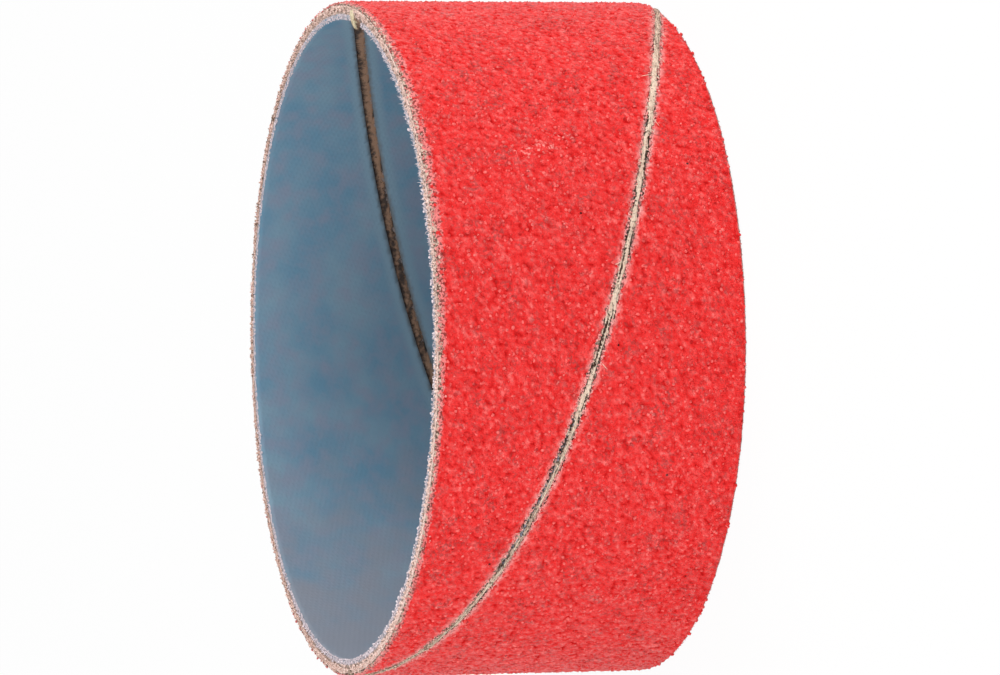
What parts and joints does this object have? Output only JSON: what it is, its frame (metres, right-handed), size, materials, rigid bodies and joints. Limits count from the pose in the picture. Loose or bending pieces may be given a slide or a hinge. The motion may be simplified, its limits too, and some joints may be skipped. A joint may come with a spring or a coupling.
{
  "type": "sanding sleeve",
  "caption": "Short open tube of coarse abrasive cloth, wound on a slant over a cloth lining, that slides onto a rubber drum for grinding and finishing.",
  "frame": {"origin": "centre of the sleeve's lower end, on the surface that it stands on", "axes": "+Z along the sleeve's axis, towards its upper end"},
  "size_m": [0.0544, 0.0544, 0.025],
  "materials": {
    "grain": "coarse grain in red resin, half gloss",
    "lining_cloth": "flat blue cloth, mottled with glue"
  },
  "bodies": {
    "root": {"abrasive_strip": "grain", "lining_strip": "lining_cloth"}
  },
  "joints": []
}
